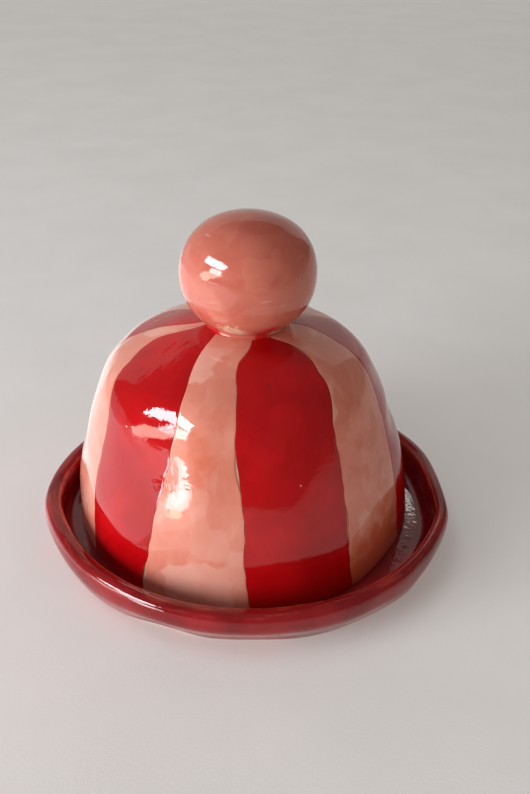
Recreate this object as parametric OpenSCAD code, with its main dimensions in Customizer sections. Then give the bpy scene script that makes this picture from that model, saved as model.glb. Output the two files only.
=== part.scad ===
// Hand-built butter dish: a shallow glazed saucer with a loose, striped, domed cover.
// The cover is lifted by the hollow clay ball luted to its crown.
// Origin: centre of the saucer's foot, on the table. +Z up, -Y the front, +X to the right.
// All sizes are in millimetres and are those of the finished, glazed piece.

/* [Saucer] */
// Widest outside diameter of the saucer
dish_d = 165; // [160:0.5:175]
// Height of the rim above the table
dish_h = 19; // [17:0.5:21]
// Thickness of the floor that the cover stands on
floor_h = 6.5; // [5.5:0.5:7.5]
// Width of the rim, from its inner edge to the widest point
rim_w = 6.6; // [6:0.1:7.2]
// Height at which the saucer is widest
widest_h = 13.5; // [13.5:0.25:14.5]
// How far the wall draws in from the widest point to the foot
foot_inset = 10; // [8:0.5:10]

/* [Cover] */
// Outside diameter of the cover where it stands on the saucer
cover_d = 136; // [130:0.5:137]
// Height of the cover's crown above the saucer's floor
cover_h = 85.7; // [80:0.1:90]
// Thickness of the clay wall
cover_wall = 5.5; // [4.5:0.5:6.5]
// Radius of the shoulder
shoulder_r = 27; // [22:1:32]
// How far the cover leans towards -X, in degrees
lean = 3.8; // [0:0.1:4]
// Where the cover stands on the floor, left to right
cover_x = -1.8; // [-2.5:0.1:1]
// Where the cover stands on the floor, front to back
cover_y = 3; // [0:0.1:3.5]

/* [Knob] */
// Width of the ball
knob_d = 52; // [48:0.5:54]
// Height of the ball above its widest point
knob_top_h = 21.6; // [20:0.1:24]
// Height of the ball's widest point above the crown
knob_rise = 19.2; // [18:0.1:20.5]
// Thickness of the ball's wall
knob_wall = 6.5; // [5:0.5:8]
// Width of the neck at its narrowest
neck_d = 27; // [26:0.5:30]
// Radius of the hollow round the neck
neck_fillet = 2.2; // [1.8:0.1:2.4]
// Diameter of the hole that vents the ball into the cover
vent_d = 4; // [3:0.5:6]

/* [Glaze] */
// Thickness of the outer glaze
glaze = 0.5; // [0.3:0.1:0.6]
// Thickness of the glaze inside the cover
lining = 0.4; // [0.3:0.1:0.6]
// Height of the bare clay left above each foot
bare = 1; // [0.5:0.1:1.5]
// Angle of bare clay between two stripes
stripe_gap = 0.35; // [0.2:0.05:1]

/* [Hidden] */
$fn = 96;

// Where each brushed stripe starts, seen from above: 0 faces the front, and the angle grows to the right.
// Red and pink take turns, red first.
stripe_starts = [-60, -27, 4, 40, 72, 110, 150, 191, 232, 270, 300];

// Saucer: the clay under the glaze
wide_r = dish_d / 2 - glaze;
rim_in_r = dish_d / 2 - rim_w + glaze;
rim_h = dish_h - glaze;
clay_floor = floor_h - glaze;
wall_r = (foot_inset * foot_inset + widest_h * widest_h) / (2 * foot_inset) - glaze;
wall_c = [wide_r - wall_r, widest_h];
lip_r = 3;
lip_c = [wide_r - lip_r, widest_h + 0.8];
edge_r = 0.9;
edge_c = [rim_in_r + edge_r, rim_h - edge_r];
// Angle at which the rounded lip runs straight on to the rim's inner edge
lip_a = asin((lip_r - edge_r) / norm(edge_c - lip_c)) + atan2(lip_c.x - edge_c.x, edge_c.y - lip_c.y);
hollow_r = 3.5;
hollow_c = [rim_in_r - hollow_r, clay_floor + hollow_r];
recess_r = 58;
recess_h = 1.2;
recess_slope = 3;

// Cover: three arcs, wall, shoulder and crown, each running into the next
cover_r = cover_d / 2 - glaze;
crown_h = cover_h - glaze;
base_a = 2;
shoulder_a = 23.5;
crown_a = 61;
crown_k = (1 - sin(crown_a)) / cos(crown_a);
side_r = (crown_h - shoulder_r * (1 - sin(shoulder_a)) - crown_k * (cover_r - shoulder_r * cos(shoulder_a)))
    / (sin(shoulder_a) - sin(base_a) - crown_k * (cos(base_a) - cos(shoulder_a)));
side_c = [cover_r - side_r * cos(base_a), -side_r * sin(base_a)];
shoulder_c = side_c + (side_r - shoulder_r) * [cos(shoulder_a), sin(shoulder_a)];
crown_r = shoulder_r + shoulder_c.x / cos(crown_a);
crown_c = [0, crown_h - crown_r];
// The wall runs on below the floor before it is cut level, because the cover leans
below = 8;
low_a = asin(sin(base_a) - below / side_r);

// Knob: it stands straight above the centre of the crown's curve, on a small level seat
knob_x = cover_x - crown_c.y * sin(lean);
crown_top = floor_h + crown_c.y * cos(lean) + crown_r;
seat_r = neck_d / 2 + 0.8;
seat_z = crown_top - crown_r + sqrt(crown_r * crown_r - seat_r * seat_r);
ball_z = crown_top + glaze + knob_rise;
ball_r = knob_d / 2 - glaze;
ball_up = knob_top_h - glaze;
// The ball is pressed on, so it touches the seat over this radius
touch_r = 9;
ball_down = (ball_z - seat_z) / sqrt(1 - pow(touch_r / ball_r, 2));
touch_a = -acos(touch_r / ball_r);
// The neck's hollow is an arc that runs on from the ball and ends on the seat
neck_r = neck_fillet + glaze;
neck_cx = neck_d / 2 + neck_fillet;
neck_a = meeting_angle(-55);
neck_c = ball_point(neck_a) + neck_r * ball_normal(neck_a);
neck_from = 180 - atan2(-ball_normal(neck_a).y, ball_normal(neck_a).x);
neck_to = 180 + asin((neck_c.y - seat_z) / neck_r);
glaze_to = 180 + asin((neck_c.y - seat_z) / neck_fillet);
// The stripes stop just short of the knob's glaze
stripe_top_r = seat_r + 0.1;

red = [0.70, 0.06, 0.09];
pink = [0.87, 0.52, 0.44];
dark_red = [0.48, 0.12, 0.14];
salmon = [0.82, 0.42, 0.36];
clay = [0.84, 0.74, 0.60];

// Points of an arc about c, from angle a to angle b
function arc(c, r, a, b, n = 8) = [for (i = [0:n]) let (t = a + (b - a) * i / n) c + r * [cos(t), sin(t)]];
function reversed(points) = [for (i = [len(points) - 1:-1:0]) points[i]];

// Where the saucer's wall is z above the table, as an angle about the centre of its curve
function wall_a(z, lift) = asin((z - widest_h) / (wall_r + lift));

// The saucer's glazed surface: up its wall, over the rim and in to the middle of the floor.
// lift raises it from the clay by the thickness of the glaze.
function dish_surface(lift) = concat(
    arc(wall_c, wall_r + lift, wall_a(bare, lift), 0, 10),
    arc(lip_c, lip_r + lift, 0, lip_a),
    arc(edge_c, edge_r + lift, lip_a, 180),
    arc(hollow_c, hollow_r - lift, 0, -90),
    [[0, clay_floor + lift]]);

// The cover's surface from below the floor to the middle of the crown, off outside the clay
function cover_surface(off) = concat(
    arc(side_c, side_r + off, low_a, shoulder_a, 12),
    arc(shoulder_c, shoulder_r + off, shoulder_a, crown_a, 10),
    arc(crown_c, crown_r + off, crown_a, 90, 10));

// A point of the ball's clay at angle a about its centre, and the way out from it
function ball_tall(a) = a > 0 ? ball_up : ball_down;
function ball_point(a) = [ball_r * cos(a), ball_z + ball_tall(a) * sin(a)];
function ball_normal(a) = let (slope = [cos(a) / ball_r, sin(a) / ball_tall(a)]) slope / norm(slope);
function ball_surface(off, a, b, n) = [for (i = [0:n])
    let (t = a + (b - a) * i / n) ball_point(t) + off * ball_normal(t)];

// The angle on the ball at which an arc about neck_cx runs on from it, found by closing in from a guess
function meeting_angle(guess, steps = 12) = steps == 0 ? guess
    : meeting_angle(-acos((neck_cx - neck_r * ball_normal(guess).x) / ball_r), steps - 1);

// A skin between two surfaces that run the same way
module skin(inner, outer, start = 0, sweep = 360) {
    rotate_extrude(angle = sweep, start = start) polygon(concat(outer, reversed(inner)));
}

// Stands its children on the saucer's floor where the cover stands, leaning as it does
module leaning() {
    translate([cover_x, cover_y, floor_h]) rotate([0, -lean, 0]) children();
}

// Stands its children on the knob's axis
module at_knob() {
    translate([knob_x, cover_y, 0]) children();
}

// Everything below a height, to cut the cover and its glaze level
module below_level(z) {
    translate([-dish_d, -dish_d, z - 40]) cube([2 * dish_d, 2 * dish_d, 40]);
}

module vent() {
    at_knob() translate([0, 0, seat_z - 20]) cylinder(d = vent_d, h = 40);
}

// Buff clay saucer, with a shallow recess inside its foot
module dish_body() {
    color(clay) rotate_extrude() polygon(concat(
        [[0, recess_h], [recess_r, recess_h], [recess_r + recess_slope, 0]],
        arc(wall_c, wall_r, wall_a(0, 0), wall_a(bare, 0), 2),
        dish_surface(0)));
}

// Dark red glaze over all of the saucer but its foot
module dish_glaze() {
    color(dark_red) skin(dish_surface(0), dish_surface(glaze));
}

// Buff clay shell of the cover, standing on a bare level edge
module cover_body() {
    color(clay) difference() {
        leaning() skin(cover_surface(-cover_wall), cover_surface(0));
        below_level(floor_h);
        at_knob() translate([0, 0, seat_z]) cylinder(r = seat_r + 1, h = 10);
        vent();
    }
}

// Glaze inside the cover
module cover_lining() {
    color(salmon) difference() {
        leaning() skin(cover_surface(-cover_wall - lining), cover_surface(-cover_wall));
        below_level(floor_h + bare);
        vent();
    }
}

// One brushed stripe of glaze, from the bare foot to the neck
module stripe(i) {
    difference() {
        leaning() skin(cover_surface(0), cover_surface(glaze),
            stripe_starts[i] - 90 + stripe_gap / 2, stripe_starts[i + 1] - stripe_starts[i] - stripe_gap);
        below_level(floor_h + bare);
        at_knob() cylinder(r = stripe_top_r, h = 2 * seat_z);
    }
}

module red_stripe(n) {
    color(red) stripe(2 * n - 2);
}

module pink_stripe(n) {
    color(pink) stripe(2 * n - 1);
}

// Hollow clay ball, vented through its foot
module knob_ball() {
    color(clay) difference() {
        at_knob() rotate_extrude() polygon(concat(
            [[0, seat_z]],
            ball_surface(0, touch_a, neck_a, 6),
            ball_surface(0, neck_a, 90, 20),
            reversed(ball_surface(-knob_wall, -90, 90, 20))));
        vent();
    }
}

// Roll of soft clay smoothed in round the joint between ball and crown
module knob_neck() {
    color(clay) at_knob() rotate_extrude() polygon(concat(
        ball_surface(0, touch_a, neck_a, 6),
        arc(neck_c, neck_r, neck_from, neck_to)));
}

// Salmon glaze over the ball and its neck
module knob_glaze() {
    color(salmon) at_knob() skin(
        concat(arc(neck_c, neck_r, neck_to, neck_from), ball_surface(0, neck_a, 90, 20)),
        concat(arc(neck_c, neck_fillet, glaze_to, neck_from), ball_surface(glaze, neck_a, 90, 20)));
}

dish_body();
dish_glaze();
cover_body();
cover_lining();
for (n = [1:5]) red_stripe(n);
for (n = [1:5]) pink_stripe(n);
knob_ball();
knob_neck();
knob_glaze();
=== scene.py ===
"""Looks of a hand-built ceramic butter dish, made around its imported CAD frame.

A dark red saucer carries a loose cover, brushed with red and pink stripes and lifted by a ball knob.
Lengths are in millimetres until a mesh is made. Angles round an axis are in degrees: 0 at the front (-Y),
growing to the right (+X).
"""

import math

import bmesh
import bpy
import numpy as np
from mathutils import Matrix, Vector


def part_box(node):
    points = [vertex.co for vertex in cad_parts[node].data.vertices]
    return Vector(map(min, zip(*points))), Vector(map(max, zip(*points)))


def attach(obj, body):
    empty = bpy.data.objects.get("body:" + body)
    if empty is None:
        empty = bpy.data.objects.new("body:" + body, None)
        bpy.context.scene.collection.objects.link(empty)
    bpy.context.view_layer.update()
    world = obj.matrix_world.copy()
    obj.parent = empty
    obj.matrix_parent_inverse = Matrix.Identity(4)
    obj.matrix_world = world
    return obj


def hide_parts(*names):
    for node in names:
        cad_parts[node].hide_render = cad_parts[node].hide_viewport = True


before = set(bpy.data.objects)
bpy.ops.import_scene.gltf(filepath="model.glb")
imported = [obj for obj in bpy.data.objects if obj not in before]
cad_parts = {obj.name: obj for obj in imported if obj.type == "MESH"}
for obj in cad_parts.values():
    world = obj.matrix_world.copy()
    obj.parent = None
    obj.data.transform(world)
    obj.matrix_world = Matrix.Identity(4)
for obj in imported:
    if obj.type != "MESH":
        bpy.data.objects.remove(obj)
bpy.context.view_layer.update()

MM = 0.001                                    # a millimetre, in metres


# ---------------------------------------------------------------- sizes from the frame

def node_box(name):
    """Lowest and highest corner of a CAD node, in millimetres."""
    low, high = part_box(name)
    return np.array(low) / MM, np.array(high) / MM


saucer_high = node_box("dish_glaze")[1]
cover_low = node_box("cover_body")[0]
neck_low, neck_high = node_box("knob_neck")
ball_low, ball_high = node_box("knob_glaze")

GLAZE = 0.5                                   # thickness of the outer glaze
LINING = 0.4                                  # thickness of the glaze inside the cover
FLOOR_Z = cover_low[2]                        # the saucer's floor, which the cover stands on
KNOB_AXIS = (neck_low[:2] + neck_high[:2]) / 2

# Saucer, as clay under its glaze
SAUCER_R = saucer_high[0] - 0.5 - GLAZE       # the rim swells and shrinks about this radius
RIM_ROOM = 0.42                               # the most that the rim may stand out along X or Y
RIM_Z = saucer_high[2] - 0.35 - GLAZE
RIM_WIDTH = 6.8
WIDEST_Z = 13.5
WALL_R = 7.0
WALL_SLOPE = 33.0                             # the wall flares straight up to its round at this angle
LIP_R = 2.6
INNER_EDGE_R = 1.8
BEVEL = 18.0                                  # the top of the rim slopes inwards at this angle
HOLLOW_R = 3.8
RECESS_R = 58.0
RECESS_Z = 1.2
RECESS_SLOPE = 3.0
BARE_INSIDE = 1.0                             # bare clay between the cover's foot and the glaze inside it
BARE_OUTSIDE = 0.35                           # on the outside the glaze ran down nearly to each foot

# Cover, in a frame that stands on the floor and leans with it
LEAN = math.radians(3.8)
FOOT_R = 67.5
CROWN_Z = 85.2
WALL = 5.5
SHOULDER_R = 27.0
FOOT_ANGLE, SHOULDER_ANGLE, CROWN_ANGLE = 2.0, 23.5, 61.0
BELOW = 8.0                                   # the wall runs on below the floor, then is cut level

# Knob
BALL_R = (ball_high[0] - ball_low[0]) / 2 - GLAZE - 0.7
BALL_TOP = ball_high[2] - GLAZE - 0.3
BALL_UP, BALL_DOWN = 21.1, 22.3
SQUARENESS = 0.03                             # how much fuller than an ellipse the ball is
TOUCH_ANGLE = -69.0                           # the ball rests on the crown at this angle below its middle
NECK_FILLET = 1.3
BALL_WALL = 6.5
VENT_R = 2.0
SEAT_R = 15.4                                 # the stripes stop here, about the knob's axis


# ---------------------------------------------------------------- outlines

def polar(radius, angles):
    """Points on a circle, angles in degrees."""
    a = np.radians(angles)
    return radius * np.stack([np.cos(a), np.sin(a)], -1)


def arc(centre, radius, start, end, count=24):
    return np.asarray(centre) + polar(radius, np.linspace(start, end, count))


class Outline:
    """A half-section (radius, height), looked up by the length along it, with its outward normals."""

    def __init__(self, *stretches, soften=0.0):
        points = np.concatenate([np.atleast_2d(s) for s in stretches]).astype(float)
        keep = np.append(True, np.linalg.norm(np.diff(points, axis=0), axis=1) > 1e-4)
        points = points[keep]
        self.along = self._lengths(points)
        count = int(self.along[-1] / 0.25) + 1
        even = np.linspace(0, self.along[-1], count)
        points = np.stack([np.interp(even, self.along, points[:, i]) for i in (0, 1)], 1)
        if soften:
            reach = max(1, int(soften / 0.25))
            kernel = np.hanning(2 * reach + 3)[1:-1]
            kernel /= kernel.sum()
            padded = np.pad(points, ((reach, reach), (0, 0)), mode="reflect", reflect_type="odd")
            points = np.stack([np.convolve(padded[:, i], kernel, "valid") for i in (0, 1)], 1)
        self.points = points
        self.along = self._lengths(points)
        self.length = self.along[-1]
        tangent = np.gradient(points, self.along, axis=0)
        tangent /= np.linalg.norm(tangent, axis=1, keepdims=True)
        self.normals = np.stack([tangent[:, 1], -tangent[:, 0]], 1)

    @staticmethod
    def _lengths(points):
        return np.append(0, np.cumsum(np.linalg.norm(np.diff(points, axis=0), axis=1)))

    def at(self, s, off=0.0):
        """Radius, height and normal at lengths s, moved off outwards."""
        r, z = (np.interp(s, self.along, self.points[:, i]) for i in (0, 1))
        nr, nz = (np.interp(s, self.along, self.normals[:, i]) for i in (0, 1))
        return r + off * nr, z + off * nz, nr, nz


def saucer_outline():
    """The saucer's clay from the foot up the wall, over the rim and in to the middle of the floor."""
    wall_c = np.array([SAUCER_R - WALL_R, WIDEST_Z])
    lip_c = np.array([SAUCER_R - LIP_R, RIM_Z - LIP_R])
    edge_c = np.array([SAUCER_R + GLAZE - RIM_WIDTH + INNER_EDGE_R, RIM_Z - 0.7 - INNER_EDGE_R])
    hollow_c = np.array([edge_c[0] - INNER_EDGE_R - HOLLOW_R, FLOOR_Z - GLAZE + HOLLOW_R])
    low = wall_c + polar(WALL_R, -WALL_SLOPE)
    foot = (low[0] - low[1] * math.tan(math.radians(WALL_SLOPE)), 0)
    return Outline(
        [foot],
        arc(wall_c, WALL_R, -WALL_SLOPE, 0),
        arc(lip_c, LIP_R, 0, 90 + BEVEL),
        arc(edge_c, INNER_EDGE_R, 90 + BEVEL, 180, 8),
        arc(hollow_c, HOLLOW_R, 0, -90),
        [[0.0, FLOOR_Z - GLAZE]],
        soften=0.6)


def cover_outline():
    """The cover's clay from below the floor to the middle of the crown, in its leaning frame."""
    foot, shoulder = (np.array([math.cos(math.radians(a)), math.sin(math.radians(a))])
                      for a in (FOOT_ANGLE, SHOULDER_ANGLE))
    crown = math.radians(CROWN_ANGLE)
    k = (1 - math.sin(crown)) / math.cos(crown)
    side_r = (CROWN_Z - SHOULDER_R * (1 - shoulder[1]) - k * (FOOT_R - SHOULDER_R * shoulder[0])) \
        / (shoulder[1] - foot[1] - k * (foot[0] - shoulder[0]))
    side_c = np.array([FOOT_R, 0]) - side_r * foot
    shoulder_c = side_c + (side_r - SHOULDER_R) * shoulder
    crown_r = SHOULDER_R + shoulder_c[0] / math.cos(crown)
    crown_c = np.array([0, CROWN_Z - crown_r])
    low = math.degrees(math.asin(foot[1] - BELOW / side_r))
    outline = Outline(
        arc(side_c, side_r, low, SHOULDER_ANGLE, 60),
        arc(shoulder_c, SHOULDER_R, SHOULDER_ANGLE, CROWN_ANGLE, 40),
        arc(crown_c, crown_r, CROWN_ANGLE, 90, 40))
    return outline, crown_c[1]


def ball_outline():
    """The ball's clay from where it rests on the crown to its top, about its own axis."""
    a = np.radians(np.linspace(TOUCH_ANGLE, 90, 120))
    square = 1 + SQUARENESS * np.sin(2 * a) ** 2
    tall = np.where(a > 0, BALL_UP, BALL_DOWN)
    ball = np.stack([BALL_R * np.cos(a) * square, BALL_TOP - BALL_UP + tall * np.sin(a) * square], 1)
    ball[-1, 0] = 0
    return Outline(ball)


def knob_outline():
    """The knob's clay from where its neck meets the crown, in a hollow curve up to the ball, to the top.
    Also the length of the hollow curve."""
    crown_c = np.array([0, CROWN_TOP - CROWN_R])
    beside = np.stack(BALL.at(BALL.along, NECK_FILLET)[:2], 1)
    leave = int(np.argmax(np.linalg.norm(beside - crown_c, axis=1) >= CROWN_R + NECK_FILLET))
    centre, normal = beside[leave], BALL.normals[leave]
    foot = 180 + math.degrees(math.atan2(centre[1] - crown_c[1], centre[0]))
    curve = arc(centre, NECK_FILLET, foot, math.degrees(math.atan2(-normal[1], -normal[0])))
    curve_length = float(np.linalg.norm(np.diff(curve, axis=0), axis=1).sum())
    return Outline(curve, BALL.points[leave:]), curve_length


SAUCER = saucer_outline()
SAUCER_LIP_S = float(SAUCER.along[np.argmax(SAUCER.points[:, 1])])      # the top of the rim
COVER, CROWN_C_Z = cover_outline()
COVER_ORIGIN = np.array([KNOB_AXIS[0] + CROWN_C_Z * math.sin(LEAN), KNOB_AXIS[1], FLOOR_Z])
CROWN_R = CROWN_Z - CROWN_C_Z
CROWN_TOP = FLOOR_Z + CROWN_C_Z * math.cos(LEAN) + CROWN_R
BALL = ball_outline()
KNOB, NECK_ARC = knob_outline()


# ---------------------------------------------------------------- surfaces shaped by hand

class Waves:
    """Soft unevenness in space: a sum of plane waves in seeded directions."""

    def __init__(self, seed, wavelength, height, count=10):
        rng = np.random.default_rng(seed)
        direction = rng.normal(size=(count, 3))
        direction /= np.linalg.norm(direction, axis=1, keepdims=True)
        self.k = direction * (2 * math.pi / (wavelength * rng.uniform(0.8, 1.3, (count, 1))))
        self.phase = rng.uniform(0, 2 * math.pi, count)
        self.height = height * math.sqrt(2 / count)

    def __call__(self, p):
        return self.height * np.sin(p @ self.k.T + self.phase).sum(-1)


def ramp(x, low, high):
    """0 below low, 1 above high, smooth between."""
    t = np.clip((x - low) / (high - low), 0, 1)
    return t * t * (3 - 2 * t)


def bump(x, middle, width):
    return np.exp(-((x - middle) / width) ** 2)


def turn(angle):
    """Difference of an angle in degrees to zero, from -180 to 180."""
    return (angle + 180) % 360 - 180


def spin(theta, r, z, centre=(0.0, 0.0)):
    """Points at angle theta round an upright axis: 0 is the front, 90 the right."""
    a = np.radians(theta)
    return np.stack(np.broadcast_arrays(centre[0] + r * np.sin(a), centre[1] - r * np.cos(a), z), -1)


cover_lobes = Waves(11, 62, 0.35)
cover_presses = Waves(14, 34, 0.2)
cover_dents = Waves(12, 20, 0.1, 14)
inside_dents = Waves(13, 22, 0.3, 12)
ball_lobes = Waves(21, 40, 0.22)
ball_dents = Waves(22, 17, 0.05)
saucer_lobes = Waves(31, 70, 0.5)
saucer_dents = Waves(32, 18, 0.09, 14)

# Where the saucer stands out or in, at its rim and below it: angle, how far, reach in degrees
RIM_SWELLS = ((-120, -3.6, 24), (-80, 1.4, 12), (77, 0.9, 8), (95, -1.3, 12), (128, -2.4, 16))
FOOT_SWELLS = ((-46, 1.6, 16), (-22, -2.2, 10), (2, -2.1, 14), (52, 2.0, 11))

# Where a thumb left the cover full or pressed in: angle, height, how far out, reach round and reach up
THUMBED = (
    (-10, 46, 0.9, 9, 26),
    (-36, 46, -0.8, 10, 16),
    (-22, 53, -0.7, 12, 8),
    (-26, 65, -0.85, 13, 9),
    (-18, 33, 0.6, 12, 9),
    (58, 0, -0.8, 19, 32),
    (90, 40, -1.4, 16, 7),
)


def lean_over(p):
    """From the cover's leaning frame to the dish's upright one."""
    c, s = math.cos(LEAN), math.sin(LEAN)
    x, y, z = p[..., 0], p[..., 1], p[..., 2]
    return np.stack([x * c - z * s, y, x * s + z * c], -1) + COVER_ORIGIN


def knob_distance(p):
    return np.linalg.norm(p[..., :2] - KNOB_AXIS, axis=-1)


def cover_surface(theta, s, off=0.0, inside=False):
    """Points of the cover's surface at angle theta and length s, off outside its clay.
    The hand's unevenness fades out towards the knob's seat."""
    r, z, nr, nz = COVER.at(s, off - (WALL if inside else 0))
    nominal = spin(theta, *COVER.at(s)[:2])
    if inside:
        swell = inside_dents(nominal)
    else:
        swell = cover_lobes(nominal) + cover_presses(nominal) + cover_dents(nominal)
        swell = swell + thumbed(theta, r, z)
    swell = swell * ramp(knob_distance(lean_over(nominal)), SEAT_R, SEAT_R + 13)
    return lean_over(spin(theta, r + swell * nr, z + swell * nz * ramp(z, 2, 12)))


def crown_surface(theta, radius, off=0.0):
    """Points of the crown's round at a distance from the knob's axis, off outside its clay."""
    ball = CROWN_R + off
    return spin(theta, radius, CROWN_TOP - CROWN_R + np.sqrt(ball ** 2 - np.square(radius)), KNOB_AXIS)


def swelled(swells, theta):
    """How far the saucer stands out at an angle, from a list of swells."""
    return sum(out * bump(turn(theta - angle), 0, reach) for angle, out, reach in swells)


def near(theta, r, z, angle, height, reach_round, reach_up):
    """1 at one place of a round wall, fading out round it and up and down it."""
    return bump(np.radians(turn(theta - angle)) * r, 0, reach_round) * bump(z, height, reach_up)


def thumbed(theta, r, z):
    """How far the potter's thumbs left the cover full or pressed in."""
    swell = np.zeros(np.broadcast_shapes(np.shape(theta), np.shape(z)))
    for angle, height, out, reach_round, reach_up in THUMBED:
        swell = swell + out * near(theta, r, z, angle, height, reach_round, reach_up)
    return swell


def saucer_surface(theta, s, off=0.0):
    """Points of the saucer's surface at angle theta and length s, off outside its clay."""
    r, z, nr, _ = SAUCER.at(s, off)
    nominal = spin(theta, r, z)
    ring = spin(theta, SAUCER_R, WIDEST_Z)
    outside = ramp(SAUCER.at(s)[0], SAUCER_R - 12, SAUCER_R - 6)
    high = ramp(z, 1, 12)
    a = np.radians(theta)
    room = (SAUCER_R + RIM_ROOM) / np.maximum(np.abs(np.sin(a)), np.abs(np.cos(a))) - SAUCER_R
    rim_swell = np.minimum(0.1 * saucer_lobes(ring) + swelled(RIM_SWELLS, theta), room)
    foot_swell = swelled(FOOT_SWELLS, theta)
    front = bump(turn(theta - 8), 0, 35)
    narrow = 1.9 * bump(turn(theta - 78), 0, 55) - 1.0 * front
    inner = ramp(s, SAUCER_LIP_S - 0.5, SAUCER_LIP_S + 4.0) * outside * ramp(z, FLOOR_Z, RIM_Z)
    dr = rim_swell * outside * high + foot_swell * outside * (1 - ramp(z, 4, 13)) + narrow * inner
    dents = saucer_dents(nominal) * ramp(z, 1.5, 5)
    lift = (0.22 * saucer_lobes(ring * 1.7) + 0.25 * front) * outside * ramp(z, 6, 15)
    floor = 0.1 * saucer_dents(nominal) * (1 - outside)
    z = z + np.minimum(lift, 0.35) + np.minimum(floor, 0)
    return spin(theta, r + dr + np.minimum(dents, 0) * nr * outside, z)


def knob_surface(theta, s, off=0.0, outline=None):
    """Points of the knob's surface at angle theta and length s, off outside its clay."""
    outline = outline or KNOB
    r, z, nr, nz = outline.at(s, off)
    nominal = spin(theta, *outline.at(s)[:2])
    swell = (ball_lobes(nominal) + ball_dents(nominal)) * ramp(z, CROWN_TOP + 2, CROWN_TOP + 12)
    points = spin(theta, r + swell * nr, z + np.minimum(swell * nz, 0.25), KNOB_AXIS)
    points[..., 0] += 0.4 * ramp(z, CROWN_TOP, CROWN_TOP + 14)
    return points


# ---------------------------------------------------------------- meshes

class Builder:
    """Collects grids of points as quads, then makes one closed mesh with smooth shading."""

    def __init__(self):
        self.points, self.faces, self.data, self.count = [], [], {}, 0

    def grid(self, points, wrap=False, flip=False, **attributes):
        """Adds rows x columns points. Rows run so that rows x columns faces outwards, unless flip."""
        rows, columns = points.shape[:2]
        index = self.count + np.arange(rows * columns).reshape(rows, columns)
        if wrap:
            index = np.concatenate([index, index[:, :1]], 1)
        a, b, c, d = index[:-1, :-1], index[:-1, 1:], index[1:, 1:], index[1:, :-1]
        quads = np.stack([a, b, c, d], -1).reshape(-1, 4)
        self.faces.append(quads[:, ::-1] if flip else quads)
        self.points.append(points.reshape(-1, 3))
        for name, value in attributes.items():
            width = 3 if np.ndim(value) == 3 else 1
            shape = (rows, columns, 3) if width == 3 else (rows, columns)
            value = np.broadcast_to(value, shape).reshape(rows * columns, -1)
            self.data.setdefault(name, []).append(value)
        self.count += rows * columns

    def finish(self, name, material, sharp=55):
        points = np.concatenate(self.points) * MM
        mesh = bpy.data.meshes.new(name)
        mesh.from_pydata(points.tolist(), [], np.concatenate(self.faces).tolist())
        for key, parts in self.data.items():
            values = np.concatenate(parts).astype(np.float32)
            kind, field = ("FLOAT_VECTOR", "vector") if values.shape[1] == 3 else ("FLOAT", "value")
            mesh.attributes.new(key, kind, "POINT").data.foreach_set(field, values.ravel())
        piece = bpy.data.objects.new(name, mesh)
        bpy.context.scene.collection.objects.link(piece)
        weld(mesh)
        mesh.polygons.foreach_set("use_smooth", [True] * len(mesh.polygons))
        mesh.set_sharp_from_angle(angle=math.radians(sharp))
        mesh.materials.append(material)
        return piece


def weld(mesh):
    """Joins points that lie on each other: poles, seams and the fine edges of a coat."""
    work = bmesh.new()
    work.from_mesh(mesh)
    bmesh.ops.remove_doubles(work, verts=work.verts, dist=0.004 * MM)
    bmesh.ops.dissolve_degenerate(work, edges=work.edges, dist=0.001 * MM)
    bmesh.ops.recalc_face_normals(work, faces=work.faces)
    work.to_mesh(mesh)
    work.free()
    mesh.update()


def rounded(distance, radius):
    """From 0 at a coat's edge to 1 at radius in from it, along a quarter round."""
    t = np.clip(distance / radius, 0, 1)
    return np.sqrt(1 - (1 - t) ** 2)


def with_edges(fractions, step):
    """Fractions from 0 to 1 with one more beside each end, where a coat's edge stands up."""
    return np.concatenate([[0.0], step + (1 - 2 * step) * fractions, [1.0]])


def columns_all_round(count):
    return np.linspace(0, 360, count, endpoint=False)[None, :]


def length_where(measure, target, theta, start, end):
    """For each angle, the length along the cover at which measure(points) first passes target."""
    s = np.linspace(start, end, 400)
    value = measure(theta.reshape(-1, 1), s[None, :])
    found = np.argmax(value >= target, axis=1)
    found = np.clip(found, 1, len(s) - 1)
    rows = np.arange(len(found))
    low, high = value[rows, found - 1], value[rows, found]
    t = np.clip((target - low) / np.where(high == low, 1, high - low), 0, 1)
    return (s[found - 1] + t * (s[found] - s[found - 1])).reshape(theta.shape)


def rows_between(start, end, count, ease=0.0):
    """count rows from start to end for each column, closer together at both ends as ease grows."""
    u = np.linspace(0, 1, count)[:, None]
    u = (1 - ease) * u + ease * (1 - np.cos(math.pi * u)) / 2
    return start + u * (end - start)


def ring_flow(theta, s, radius):
    """Across and along the way a brush ran round the axis, for the materials' streaks."""
    a = np.radians(theta)
    return np.stack(np.broadcast_arrays(s, radius * np.sin(a), radius * np.cos(a)), -1)


# ---------------------------------------------------------------- shader helpers

def opaque(colour):
    """A linear colour with its alpha."""
    return (*colour, 1.0)


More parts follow.
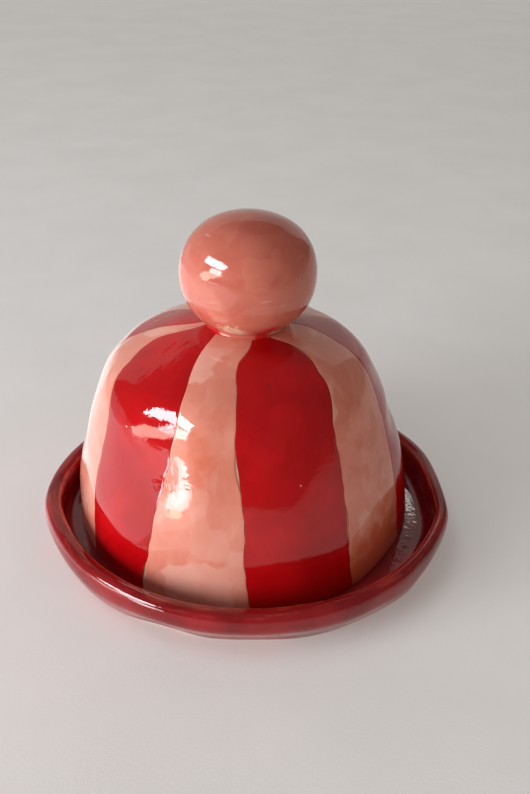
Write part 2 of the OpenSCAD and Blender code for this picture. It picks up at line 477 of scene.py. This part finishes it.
class Graph:
    """Builds one procedural material. Every method gives back the output socket of a new node."""

    def __init__(self, name):
        self.material = bpy.data.materials.new(name)
        self.material.use_nodes = True
        self.tree = self.material.node_tree
        self.shader = self.tree.nodes["Principled BSDF"]
        self.place = self.node("ShaderNodeTexCoord").outputs["Object"]
        self.mm = self.scaled(self.place, (1000, 1000, 1000))

    def node(self, kind, **settings):
        made = self.tree.nodes.new(kind)
        for key, value in settings.items():
            setattr(made, key, value)
        return made

    def feed(self, socket, value):
        if isinstance(value, bpy.types.NodeSocket):
            self.tree.links.new(value, socket)
        elif value is not None:
            socket.default_value = value

    def scaled(self, vector, by):
        made = self.node("ShaderNodeVectorMath", operation="MULTIPLY")
        self.feed(made.inputs[0], vector)
        made.inputs[1].default_value = by
        return made.outputs[0]

    def shifted(self, vector, other, amount):
        """vector moved about by a colour or vector, for ragged outlines."""
        made = self.node("ShaderNodeVectorMath", operation="MULTIPLY_ADD")
        self.feed(made.inputs[0], other)
        made.inputs[1].default_value = (amount,) * 3
        self.feed(made.inputs[2], vector)
        return made.outputs[0]

    def attribute(self, name, output="Fac"):
        return self.node("ShaderNodeAttribute", attribute_name=name).outputs[output]

    def noise(self, vector, scale=1.0, detail=2.0, roughness=0.5, output="Fac"):
        made = self.node("ShaderNodeTexNoise")
        self.feed(made.inputs["Vector"], vector)
        made.inputs["Scale"].default_value = scale
        made.inputs["Detail"].default_value = detail
        made.inputs["Roughness"].default_value = roughness
        return made.outputs[output]

    def cells(self, vector, scale, output="Distance"):
        made = self.node("ShaderNodeTexVoronoi")
        self.feed(made.inputs["Vector"], vector)
        made.inputs["Scale"].default_value = scale
        return made.outputs[output]

    def dabs(self, vector, soft=0.3):
        """Squarish patches with soft outlines, each of its own random colour, split into three values."""
        made = self.node("ShaderNodeTexVoronoi", distance="CHEBYCHEV", feature="SMOOTH_F1")
        self.feed(made.inputs["Vector"], vector)
        made.inputs["Scale"].default_value = 1.0
        made.inputs["Smoothness"].default_value = soft
        split = self.node("ShaderNodeSeparateColor")
        self.feed(split.inputs[0], made.outputs["Color"])
        return split.outputs

    def math(self, operation, a, b=None, clamp=False):
        made = self.node("ShaderNodeMath", operation=operation, use_clamp=clamp)
        self.feed(made.inputs[0], a)
        self.feed(made.inputs[1], b)
        return made.outputs[0]

    def range(self, value, low, high, to_low=0.0, to_high=1.0):
        """value from low..high to to_low..to_high, smooth and held at both ends."""
        made = self.node("ShaderNodeMapRange", interpolation_type="SMOOTHSTEP")
        self.feed(made.inputs["Value"], value)
        limits = {"From Min": low, "From Max": high, "To Min": to_low, "To Max": to_high}
        for key, number in limits.items():
            made.inputs[key].default_value = number
        return made.outputs["Result"]

    def mix(self, amount, a, b, blend="MIX"):
        made = self.node("ShaderNodeMix", data_type="RGBA", blend_type=blend)
        self.feed(made.inputs["Factor"], amount)
        self.feed(made.inputs["A"], opaque(a) if isinstance(a, tuple) else a)
        self.feed(made.inputs["B"], opaque(b) if isinstance(b, tuple) else b)
        return made.outputs["Result"]

    def relief(self, height, depth, normal=None):
        """A bump of so many millimetres."""
        made = self.node("ShaderNodeBump")
        made.inputs["Distance"].default_value = depth * MM
        self.feed(made.inputs["Height"], height)
        self.feed(made.inputs["Normal"], normal)
        return made.outputs["Normal"]

    def specks(self, scale, radius, share, seed):
        """Round spots of up to radius millimetres, in share of the cells of a lattice 1/scale wide."""
        moved = self.node("ShaderNodeVectorMath", operation="ADD")
        self.feed(moved.inputs[0], self.mm)
        moved.inputs[1].default_value = (seed, 2 * seed, 3 * seed)
        place = moved.outputs[0]
        distance = self.cells(place, scale)
        chance = self.node("ShaderNodeSeparateColor")
        self.feed(chance.inputs[0], self.cells(place, scale, output="Color"))
        size = self.range(chance.outputs["Red"], 1 - share, 1, 0, radius * scale)
        ratio = self.math("DIVIDE", distance, self.math("MAXIMUM", size, 1e-4))
        return self.range(ratio, 1.0, 0.6)

    def finish(self, colour, roughness, normal, **constants):
        self.feed(self.shader.inputs["Base Color"], colour)
        self.feed(self.shader.inputs["Roughness"], roughness)
        self.feed(self.shader.inputs["Normal"], normal)
        for key, value in constants.items():
            self.shader.inputs[key.replace("_", " ")].default_value = value
        return self.material


BUFF = (0.60, 0.40, 0.24)
CREAM = (0.80, 0.62, 0.44)
BROWN = (0.07, 0.035, 0.018)


def glaze(name, base, dark, pale, patches=0.5, streaks=0.3, thin_tone=BUFF, thin_reach=0.5,
          deep=None, worn=None, scratches=0.0):
    """A glossy brushed glaze over clay: clouds, dabs of the brush, faint streaks, specks and pinholes.
    Where the vertex attributes thin, deep and worn are high, it shows thin_tone, deep and worn.
    On some pieces these also carry a painted glint and painted shade."""
    g = Graph(name)
    flow = g.attribute("flow", "Vector")
    colour = g.mix(g.range(g.noise(g.mm, 1 / 20, 3, 0.5), 0.35, 0.65), dark, base)
    ragged = g.noise(g.mm, 1 / 6, 2, 0.5, "Color")
    dabs = g.dabs(g.shifted(g.scaled(flow, (1 / 12, 1 / 16, 1 / 16)), ragged, 0.4))
    colour = g.mix(g.math("MULTIPLY", g.range(dabs["Red"], 0.5, 0.95), patches), colour, pale)
    colour = g.mix(g.math("MULTIPLY", g.range(dabs["Green"], 0.5, 0.95), patches), colour, dark)
    brushed = g.noise(g.scaled(flow, (1 / 4, 1 / 14, 1 / 14)), 1.0, 3, 0.5)
    colour = g.mix(g.math("MULTIPLY", g.range(brushed, 0.5, 0.8), streaks), colour, pale)
    nibbled = g.range(g.noise(g.mm, 1 / 2.4, 3, 0.6), 0.3, 0.75, -0.35, 0.35)
    # The thin_tone shows where the thin attribute is high: glaze running thin, and on the knob's neck
    # also a painted glint.
    edge = g.range(g.math("ADD", g.attribute("thin"), nibbled), 0.45, 1.0)
    colour = g.mix(g.math("MULTIPLY", edge, thin_reach), colour, thin_tone)
    # The deep colour: glaze lying thick, and on the cover's right-hand pink also painted shade.
    if deep:
        cloudy = g.range(g.noise(g.mm, 1 / 8, 3, 0.5), 0.3, 0.7, -0.2, 0.2)
        colour = g.mix(g.range(g.math("ADD", g.attribute("deep"), cloudy), 0.15, 0.8), colour, deep)
    # The worn colour: rubbed and stained glaze, and on the knob also painted shade low on the ball.
    if worn:
        rubbed = g.noise(g.scaled(flow, (1 / 1.5, 1 / 12, 1 / 12)), 1.0, 4, 0.6)
        rubbed = g.range(rubbed, 0.3, 0.7, -0.35, 0.35)
        colour = g.mix(g.range(g.math("ADD", g.attribute("worn"), rubbed), 0.3, 1.0), colour, worn)
    if scratches:
        fine = g.noise(g.scaled(flow, (3.0, 1 / 9, 1 / 9)), 1.0, 1, 0.4)
        here = g.range(g.noise(g.mm, 1 / 11, 2, 0.5), 0.55, 0.7)
        lines = g.math("MULTIPLY", g.range(fine, 0.68, 0.76), here)
        colour = g.mix(g.math("MULTIPLY", lines, scratches), colour, CREAM)
    pits = g.specks(1 / 9, 0.5, 0.3, 7)
    colour = g.mix(g.math("MULTIPLY", pits, 0.6), colour, CREAM)
    holes = g.specks(1 / 11, 0.9, 0.6, 3)
    colour = g.mix(g.math("MULTIPLY", holes, 0.85), colour, BROWN)
    roughness = g.range(g.noise(g.mm, 1 / 7, 3, 0.6), 0.3, 0.8, 0.04, 0.10)
    ripple = g.relief(g.noise(g.scaled(flow, (1 / 3, 1 / 9, 1 / 9)), 1.0, 2, 0.5), 0.055)
    peel = g.relief(g.noise(g.mm, 1 / 4, 3, 0.5), 0.05, ripple)
    fine = g.relief(g.noise(g.mm, 1 / 1.8, 1, 0.5), 0.03, peel)
    sunk = g.relief(g.math("ADD", pits, holes), -0.12, fine)
    return g.finish(colour, roughness, sunk, IOR=1.5)


def clay(name):
    """Bare buff clay, matt and a little grainy, darker where it was handled."""
    g = Graph(name)
    clouds = g.range(g.noise(g.mm, 1 / 9, 4, 0.6), 0.3, 0.75)
    colour = g.mix(clouds, (0.60, 0.43, 0.27), (0.74, 0.57, 0.38))
    dirt = g.range(g.noise(g.mm, 1.6, 3, 0.7), 0.55, 0.8)
    colour = g.mix(g.math("MULTIPLY", dirt, 0.5), colour, (0.36, 0.22, 0.12))
    colour = g.mix(g.math("MULTIPLY", g.specks(1 / 4, 0.35, 0.4, 5), 0.7), colour, BROWN)
    grain = g.relief(g.noise(g.mm, 2.2, 4, 0.7), 0.06)
    return g.finish(colour, g.range(g.noise(g.mm, 1 / 3, 2), 0.3, 0.8, 0.75, 0.95), grain, IOR=1.45)


CLAY = clay("bare_clay")
SAUCER_GLAZE = glaze("saucer_glaze", (0.32, 0.012, 0.016), (0.20, 0.006, 0.009), (0.40, 0.026, 0.028),
                     patches=0.2, streaks=0.2, thin_tone=(0.50, 0.07, 0.03), thin_reach=0.5,
                     worn=(0.54, 0.085, 0.05))
RED = glaze("red_stripe_glaze", (0.52, 0.003, 0.006), (0.41, 0.002, 0.004), (0.58, 0.010, 0.012),
            patches=0.25, streaks=0.2, thin_reach=0.25)
PINK = glaze("pink_stripe_glaze", (0.81, 0.32, 0.235), (0.73, 0.235, 0.16), (0.86, 0.44, 0.35),
             patches=0.75, streaks=0.3, thin_tone=CREAM, thin_reach=0.4, deep=(0.66, 0.15, 0.075))
KNOB_COAT = glaze("knob_salmon_glaze", (0.59, 0.16, 0.112), (0.50, 0.115, 0.076), (0.67, 0.225, 0.16),
                  patches=0.35, streaks=0.15, thin_tone=CREAM, thin_reach=0.65, worn=(0.58, 0.01, 0.012),
                  scratches=0.6)
LINING_COAT = glaze("lining_glaze", (0.74, 0.26, 0.18), (0.66, 0.20, 0.13), (0.80, 0.34, 0.25),
                    patches=0.3, streaks=0.4, thin_tone=CREAM, thin_reach=0.7)


# ---------------------------------------------------------------- saucer

def saucer_clay():
    theta = columns_all_round(180)
    s = rows_between(0, SAUCER.length, 110) + 0 * theta
    top = saucer_surface(theta, s)
    foot = top[:1]
    slope = spin(theta, RECESS_R + RECESS_SLOPE, 0.0)
    edge = spin(theta, RECESS_R, RECESS_Z)
    middle = spin(theta, rows_between(RECESS_R, 0, 16), RECESS_Z)
    under = np.concatenate([foot, slope, edge, middle[1:]])
    b = Builder()
    b.grid(np.concatenate([under[::-1], top[1:]]), wrap=True)
    return b.finish("saucer_clay", CLAY)


def saucer_coat():
    theta = columns_all_round(420)
    start = float(np.interp(BARE_OUTSIDE, SAUCER.points[:40, 1], SAUCER.along[:40]))
    wavy = start + 0.15 * np.abs(saucer_dents(spin(theta, 70.0, 3.0))) / 0.09
    outer_s = np.linspace(0, 1, 44)[:, None]
    wall_end = SAUCER_LIP_S + 16
    s = np.concatenate([wavy + outer_s * (wall_end - wavy),
                        rows_between(wall_end, SAUCER.length, 50)[1:] + 0 * theta])
    thick = GLAZE * rounded(s - wavy, 0.6)
    lip = s - SAUCER_LIP_S
    worn = 0.9 * bump(lip, 3.0, 0.6) + 0.3 * bump(lip, 0.0, 2.5)
    thin = bump(s - wavy, 0, 1.5)
    flow = ring_flow(theta, s, SAUCER_R)
    b = Builder()
    b.grid(saucer_surface(theta, s, thick), wrap=True, flow=flow, worn=worn, thin=thin)
    b.grid(saucer_surface(theta, s, 0.0), wrap=True, flip=True, flow=flow, worn=worn, thin=thin)
    return b.finish("saucer_glaze", SAUCER_GLAZE)


# ---------------------------------------------------------------- cover

def foot_length(theta, z, inside=False):
    """Where the leaning wall reaches height z, for each angle."""
    def height(angle, s):
        return cover_surface(angle, s, inside=inside)[..., 2]
    return length_where(height, z, theta, 0, COVER.length * 0.4)


def neck_length(theta, radius, inside=False):
    """Where the crown comes within radius of the knob's axis, for each angle."""
    def nearness(angle, s):
        return -knob_distance(cover_surface(angle, s, inside=inside))
    return length_where(nearness, -radius, theta, COVER.length * 0.5, COVER.length)


def around_knob(points):
    """The angle of each point round the knob's axis."""
    return np.degrees(np.arctan2(points[..., 0] - KNOB_AXIS[0], KNOB_AXIS[1] - points[..., 1]))


def cover_clay():
    theta = columns_all_round(200)
    foot_s, neck_s = foot_length(theta, FLOOR_Z), neck_length(theta, SEAT_R - 1)
    outer = cover_surface(theta, rows_between(foot_s, neck_s, 70))
    foot_s, neck_s = foot_length(theta, FLOOR_Z, inside=True), neck_length(theta, SEAT_R, inside=True)
    inner = cover_surface(theta, rows_between(neck_s, foot_s, 60), inside=True)
    for ring in (outer[:1], inner[-1:]):
        ring[..., 2] = FLOOR_Z
    turned = around_knob(outer[-1:])
    seat_z = BALL.points[0, 1] - 0.05
    seat = np.concatenate([spin(turned, SEAT_R - 4, seat_z), spin(turned, VENT_R, seat_z)])
    ceiling = crown_surface(around_knob(inner[:1]), rows_between(VENT_R, SEAT_R, 10)[:-1], -WALL)
    b = Builder()
    b.grid(np.concatenate([outer, seat, ceiling, inner, outer[:1]]), wrap=True)
    return b.finish("cover_clay", CLAY, sharp=40)


def cover_lining():
    theta = columns_all_round(200)
    start = foot_length(theta, FLOOR_Z + BARE_INSIDE, inside=True)
    s = rows_between(start, neck_length(theta, SEAT_R, inside=True), 70, 0.2)
    thick = -LINING * rounded(s - start, 0.6)
    radius = rows_between(SEAT_R, VENT_R, 16, 0.3)[1:]
    crown_thick = -LINING * rounded(radius - VENT_R, 0.6)
    turned = around_knob(cover_surface(theta, s[-1:], inside=True))
    crown_s = s[-1:] + SEAT_R - radius
    flow = ring_flow(theta, np.concatenate([s, crown_s]), FOOT_R)
    thin = bump(np.concatenate([s - start, crown_s - start]), 0, 2)
    face = np.concatenate([cover_surface(theta, s, thick, inside=True),
                           crown_surface(turned, radius, crown_thick - WALL)])
    back = np.concatenate([cover_surface(theta, s, inside=True), crown_surface(turned, radius, -WALL)])
    b = Builder()
    b.grid(face, wrap=True, flip=True, flow=flow, thin=thin)
    b.grid(back, wrap=True, flow=flow, thin=thin)
    return b.finish("cover_lining_glaze", LINING_COAT)


# Where one stripe ends and the next begins, in degrees, at six heights from the foot to the neck
EDGE_HEIGHTS = (0, 35, 62, 75, 80.5, 84)
STRIPE_EDGES = (
    (-58, -58, -58, -71, -79, -68),
    (-31, -27, -22, -22, -25, -25),
    (4, 3, 3, 4, 7, 31),
    (38, 40, 43, 51, 57, 45),
    (70, 71, 78, 85, 90, 84),
    (110, 111, 112, 116, 112, 104),
    (150, 151, 149, 148, 149, 150),
    (190, 192, 191, 189, 190, 191),
    (235, 233, 230, 230, 231, 231),
    (262, 262, 260, 259, 264, 278),
)
# Bare places between two stripes: which edge, at what height, how wide and how long
BARE_PLACES = (
    (1, 9, 0.6, 5),
    (2, 54, 0.5, 5),
    (3, 24, 0.35, 10),
    (5, 40, 0.5, 6),
    (7, 30, 0.5, 8),
    (8, 60, 0.4, 6),
)
# Where a pink stripe is painted a deeper, darker orange: angle, height, how much, reach round and reach
# up.
# The two on the right, at 54 and 58 degrees, are painted shade of that shadowed side; the others show
# glaze lying thick.
DEEP_AND_SHADED_PLACES = (
    (54, 0, 1.0, 28, 20),
    (58, 42, 0.4, 22, 24),
    (-10, 58, 0.45, 10, 16),
    (-64, 2, 0.5, 12, 14),
)
edge_wander = [Waves(100 + i, 26, 0.45, 6) for i in range(len(STRIPE_EDGES))]
edge_nibble = [Waves(200 + i, 7, 0.12, 6) for i in range(len(STRIPE_EDGES))]


def stripe_edge(i, z):
    """Angle of an edge at height z above the cover's foot, as the brush wandered."""
    turns, i = divmod(i, len(STRIPE_EDGES))
    u = np.interp(z, EDGE_HEIGHTS, np.arange(len(EDGE_HEIGHTS)))
    values = np.array(STRIPE_EDGES[i], float)
    k = np.clip(u.astype(int), 0, len(values) - 2)
    slope = np.gradient(values)
    t = u - k
    a, b, ma, mb = values[k], values[k + 1], slope[k], slope[k + 1]
    smooth = (2 * t**3 - 3 * t**2 + 1) * a + (t**3 - 2 * t**2 + t) * ma \
        + (3 * t**2 - 2 * t**3) * b + (t**3 - t**2) * mb
    line = np.stack([0 * z, 0 * z, z], -1)
    return smooth + edge_wander[i](line) + edge_nibble[i](line) + 360 * turns


def bare_width(i, z):
    """Half the bare clay between two stripes, in millimetres."""
    i = i % len(STRIPE_EDGES)
    width = 0.01 + 0 * z
    for edge, height, wide, long in BARE_PLACES:
        if edge == i:
            width = width + wide * bump(z, height, long)
    return width


def stripe(i):
    """One brushed stripe: i counts them round, red first."""
    even = np.linspace(0, 1, 40)
    across = with_edges(0.5 * even + 0.5 * (1 - np.cos(math.pi * even)) / 2, 0.002)[None, :]
    along = with_edges(np.linspace(0, 1, 130), 0.001)[:, None]
    middle = np.array([40.0])
    theta = stripe_edge(i, middle) * (1 - across) + stripe_edge(i + 1, middle) * across
    for _ in range(4):
        start = foot_length(theta[:1], FLOOR_Z + BARE_OUTSIDE)
        end = neck_length(theta[-1:], SEAT_R)
        s = start + along * (end - start)
        r, z = COVER.at(s)[:2]
        per_mm = 180 / (math.pi * np.maximum(r, 10))
        left = stripe_edge(i, z) + bare_width(i, z) * per_mm
        right = stripe_edge(i + 1, z) - bare_width(i + 1, z) * per_mm
        theta = left + (right - left) * across
    width = (right - left) / per_mm
    to_side = np.minimum(across, 1 - across) * width
    to_end = np.minimum(s - start, end - s)
    nearest = np.minimum(to_side, to_end)
    thick = GLAZE * (0.8 + 0.2 * rounded(nearest, 0.8)) * (nearest > 0)
    thin = np.maximum(0.6 * np.exp(-to_side / 0.5), 0.8 * np.exp(-(s - start) / 0.8))
    # deep: a deeper orange; at the places on the right it is painted shade.
    deep = np.maximum.reduce([
        much * near(theta, r, z, angle, height, reach_round, reach_up)
        for angle, height, much, reach_round, reach_up in DEEP_AND_SHADED_PLACES])
    flow = np.stack(np.broadcast_arrays((across - 0.5) * width, s, 37.0 * i), -1)
    b = Builder()
    b.grid(cover_surface(theta, s, thick), flow=flow, thin=thin, deep=deep)
    b.grid(cover_surface(theta, s, 0.0), flip=True, flow=flow, thin=thin, deep=deep)
    colour, number = ("red", "pink")[i % 2], i // 2 + 1
    return b.finish(f"{colour}_brush_{number}", RED if i % 2 == 0 else PINK)


# ---------------------------------------------------------------- knob

def knob_clay():
    """The hollow ball, with the vent through its foot."""
    theta = columns_all_round(96)
    a = np.radians(np.linspace(90, -84, 30))[:, None]
    tall = np.where(a > 0, BALL_UP, BALL_DOWN) - BALL_WALL
    hollow_r = np.maximum((BALL_R - BALL_WALL) * np.cos(a), 0)
    hollow = spin(theta, hollow_r, BALL_TOP - BALL_UP + tall * np.sin(a), KNOB_AXIS)
    foot_z = BALL.points[0, 1]
    vent = spin(theta, VENT_R, np.array([[hollow[-1, 0, 2]], [foot_z]]), KNOB_AXIS)
    ball = knob_surface(theta, rows_between(0, BALL.length, 60) + 0 * theta, outline=BALL)
    b = Builder()
    b.grid(np.concatenate([hollow, vent, ball]), wrap=True)
    return b.finish("knob_clay", CLAY)


def knob_neck():
    """The roll of clay smoothed in round the joint between ball and crown."""
    theta = columns_all_round(160)
    face = knob_surface(theta, rows_between(0, NECK_ARC, 10) + 0 * theta)
    leave = float(np.interp(face[-1, 0, 2], BALL.points[:80, 1], BALL.along[:80]))
    back = knob_surface(theta, rows_between(leave, 0, 8)[1:] + 0 * theta, outline=BALL)
    b = Builder()
    b.grid(np.concatenate([face, back, face[:1]]), wrap=True)
    return b.finish("knob_neck_roll", CLAY)


def neck_angle(i):
    """The angle round the knob's axis at which an edge between two stripes reaches the neck."""
    theta = stripe_edge(i, np.array([EDGE_HEIGHTS[-1]]))[None, :]
    return float(around_knob(cover_surface(theta, neck_length(theta, SEAT_R)))[0, 0])


def knob_coat():
    """The ball's glaze. Round the neck it carries on the red stripes' colour, with a pool and a smear
    of it above. It lies thinly over the front of the neck. A cream line along the neck's right side is a
    painted glint, and the ball is painted darker and redder low down, near the neck, as painted shade."""
    theta = columns_all_round(300)
    s = rows_between(0, KNOB.length, 130) + 0 * theta
    s = np.concatenate([np.array([[0.0], [0.05], [0.2]]) + 0 * theta, s[1:]])
    thick = GLAZE * (0.8 + 0.2 * rounded(s, 0.8)) * (s > 0)
    stain = np.zeros_like(s)
    for i in range(0, len(STRIPE_EDGES), 2):
        start, end = neck_angle(i), neck_angle(i + 1)
        half = ((end - start) % 360) / 2
        stain = np.maximum(stain, 1 - ramp(np.abs(turn(theta - start - half)), half - 1.5, half + 1.5))
    low = 1 - ramp(s, NECK_ARC * 0.55, NECK_ARC * 0.9)
    pool = bump(turn(theta - 24), 0, 17) * (1 - ramp(s, NECK_ARC + 6, NECK_ARC + 12))
    smear = bump(turn(theta + 43), 0, 8) * (1 - ramp(s, NECK_ARC + 3, NECK_ARC + 7))
    bare = bump(turn(theta + 12), 0, 24) * bump(s, NECK_ARC + 5, 5.5) * (1 - np.clip(pool + smear, 0, 1))
    # Painted shade: the ball made darker and redder low down, near the neck.
    painted_shade = 0.3 * (1 - ramp(s, NECK_ARC + 9, NECK_ARC + 20)) * (1 - bare)
    worn = np.maximum.reduce([1.4 * stain * low, 0.85 * pool, 1.1 * smear, painted_shade])
    # Painted glint: a cream line along the neck's right side.
    painted_glint = bump(turn(theta - 48), 0, 20) * bump(s, NECK_ARC * 0.7, 0.5)
    thin = np.maximum(1.15 * bare, 1.3 * painted_glint)
    flow = ring_flow(theta, s, BALL_R)
    b = Builder()
    b.grid(knob_surface(theta, s, thick), wrap=True, flow=flow, thin=thin, worn=worn)
    b.grid(knob_surface(theta, s, 0.0), wrap=True, flip=True, flow=flow, thin=thin, worn=worn)
    return b.finish("knob_glaze_coat", KNOB_COAT)


# ---------------------------------------------------------------- putting it together

def place(piece, body, slot, *nodes):
    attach(piece, body)
    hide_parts(*nodes)


place(saucer_clay(), "dish", "bare_clay", "dish_body")
place(saucer_coat(), "dish", "dish_glaze", "dish_glaze")
place(cover_clay(), "cover", "bare_clay", "cover_body")
place(cover_lining(), "cover", "lining_glaze", "cover_lining")
for i in range(len(STRIPE_EDGES)):
    paint = ("red", "pink")[i % 2]
    place(stripe(i), "cover", paint + "_glaze", f"{paint}_stripe_{i // 2 + 1}")
place(knob_clay(), "cover", "bare_clay", "knob_ball")
place(knob_neck(), "cover", "bare_clay", "knob_neck")
place(knob_coat(), "cover", "knob_glaze", "knob_glaze")


# ---------------------------------------------------------------- stage, light and camera

def look_from(direction, distance, target):
    """A matrix at distance from target along direction, facing it."""
    d = Vector(direction).normalized()
    made = d.to_track_quat("Z", "Y").to_matrix().to_4x4()
    made.translation = Vector(target) + d * distance
    return made


def floor():
    mesh = bpy.data.meshes.new("floor")
    half = 4.0
    corners = [(-half, -half, 0), (half, -half, 0), (half, half, 0), (-half, half, 0)]
    mesh.from_pydata(corners, [], [(0, 1, 2, 3)])
    plane = bpy.data.objects.new("floor", mesh)
    bpy.context.scene.collection.objects.link(plane)
    g = Graph("glowing_pale_paper")
    colour = g.mix(g.range(g.noise(g.mm, 1 / 60, 3), 0.3, 0.7), (0.76, 0.75, 0.73), (0.80, 0.79, 0.77))
    # Painted light: the paper glows a little by itself, brightening itself and lighting the dish from
    # below.
    paper = g.finish(colour, 0.9, g.relief(g.noise(g.mm, 1.2, 3), 0.05), Emission_Strength=0.16)
    g.shader.inputs["Emission Color"].default_value = (1.0, 0.98, 0.95, 1)
    mesh.materials.append(paper)


def panel(name, way, distance, sideways, up, width, height, radiance, colour,
          mirrored=True, lighting=True):
    """A soft light panel facing the dish. sideways and up shift it across the way it is seen, in metres.
    One that is not mirrored lights the glaze without showing in it. One not lighting only shows in it."""
    data = bpy.data.lights.new(name, "AREA")
    data.shape = "RECTANGLE"
    data.size, data.size_y = width, height
    data.energy = radiance * math.pi * width * height
    data.color = colour
    light = bpy.data.objects.new(name, data)
    light.visible_glossy, light.visible_diffuse = mirrored, lighting
    light.matrix_world = look_from(way, distance, LIGHT_TARGET) @ Matrix.Translation((sideways, up, 0))
    bpy.context.scene.collection.objects.link(light)
    return light


def narrow_panel(name, way, distance, target, width, height, radiance, colour, spread):
    """A small panel that shines only along its own way, so that it shows only round its target.
    radiance is the one seen from there."""
    light = panel(name, way, distance, 0, 0, width, height, radiance, colour, lighting=False)
    half = math.radians(spread) / 2
    light.data.spread = 2 * half
    light.data.energy *= (math.tan(half) - half) / math.tan(half)
    light.matrix_world = look_from(way, distance, target)


LIGHT_TARGET = (0, 0, 0.06)
COOL, WARM, SANDY, AMBER = (0.97, 0.96, 1.0), (1.0, 0.93, 0.86), (1.0, 0.84, 0.70), (1.0, 0.67, 0.43)
WINDOW_WAY = (-0.85, -0.435, 0.30)
# Panes of the window, by where they are on it and their size: sideways, up, width, height
PANES = ((-0.03, 0.28, 0.66, 0.28), (0.10, 0.00, 0.30, 0.19))
for number, (sideways, up, width, height) in enumerate(PANES, 1):
    panel(f"window_pane_{number}", WINDOW_WAY, 1.1, sideways, up, width, height, 22, COOL, lighting=False)

# A slanting strip below the panes, warmer and dimmer than they are
strip = panel("window_strip", WINDOW_WAY, 1.1, -0.06, -0.18, 0.66, 0.22, 9, SANDY, lighting=False)
strip.matrix_world = strip.matrix_world @ Matrix.Rotation(math.radians(40), 4, "Z")

# Soft light on the dish: the first three and the last do not show in the glaze
panel("daylight", (-0.85, -0.50, 0.18), 1.3, 0, 0, 0.8, 0.7, 8.8, COOL, mirrored=False)
panel("front_light", (-0.30, -0.90, 0.26), 1.6, 0, 0, 1.4, 1.0, 0.8, WARM, mirrored=False)
panel("ceiling", (-0.45, -0.10, 0.88), 1.6, 0, 0, 1.1, 1.0, 1.3, COOL, mirrored=False)
panel("pale_wall", (-0.95, 0.26, 0.04), 1.4, 0, 0, 1.5, 0.23, 0.5, COOL)
panel("back_wall", (-0.15, 0.95, 0.34), 2.2, 0, 0, 4.2, 1.8, 0.45, WARM)
panel("room", (0.75, -0.60, 0.30), 1.6, 0, 0, 1.8, 1.2, 0.38, AMBER, mirrored=False)

# Small cards that show as highlights: two low on the cover's front, one in the saucer, on the right
LOW_SPOT = (-0.020, -0.061, 0.024)
narrow_panel("low_card", (-0.75, -0.66, 0.06), 0.22, LOW_SPOT, 0.080, 0.031, 26, COOL, 32)
narrow_panel("low_card_edge", (-0.75, -0.66, -0.06), 0.22, LOW_SPOT, 0.050, 0.02, 16, AMBER, 32)
narrow_panel("far_glow", (0.155, 0.785, 0.60), 1.0, (0.085, 0.035, 0.007), 0.08, 0.05, 6.5, WARM, 9)

# The table beside the dish, bright under the window
table = panel("bright_table", (0, 0, 1), 1.0, 0, 0, 0.50, 0.80, 0.8, COOL)
table.matrix_world = Matrix.Translation((-0.34, -0.05, 0.002)) @ Matrix.Rotation(math.pi, 4, "X")
table.visible_camera = False

world = bpy.data.worlds.new("room")
bpy.context.scene.world = world
world.use_nodes = True
world.node_tree.nodes["Background"].inputs["Color"].default_value = (1.0, 0.96, 0.90, 1)
world.node_tree.nodes["Background"].inputs["Strength"].default_value = 0.14


def camera():
    """The viewpoint: a little above the knob, close, tilted down and rolled slightly."""
    elevation, roll = math.radians(31.3), math.radians(1.6)
    distance, aim = 0.380, Vector((0.006, 0, 0.0589))
    up = Vector((0, math.sin(elevation), math.cos(elevation)))
    right = Vector((1, 0, 0)) * math.cos(roll) + up * math.sin(roll)
    forward = Vector((0, math.cos(elevation), -math.sin(elevation)))
    tilted = right.cross(forward)
    data = bpy.data.cameras.new("camera")
    data.sensor_width, data.lens = 36, 43.75
    data.clip_start = 0.01
    made = bpy.data.objects.new("camera", data)
    made.matrix_world = Matrix((
        (right.x, tilted.x, -forward.x, 0), (right.y, tilted.y, -forward.y, 0),
        (right.z, tilted.z, -forward.z, 0), (0, 0, 0, 1)))
    made.location = aim - forward * distance
    bpy.context.scene.collection.objects.link(made)
    bpy.context.scene.camera = made


floor()
camera()
bpy.context.scene.view_settings.view_transform = "Standard"
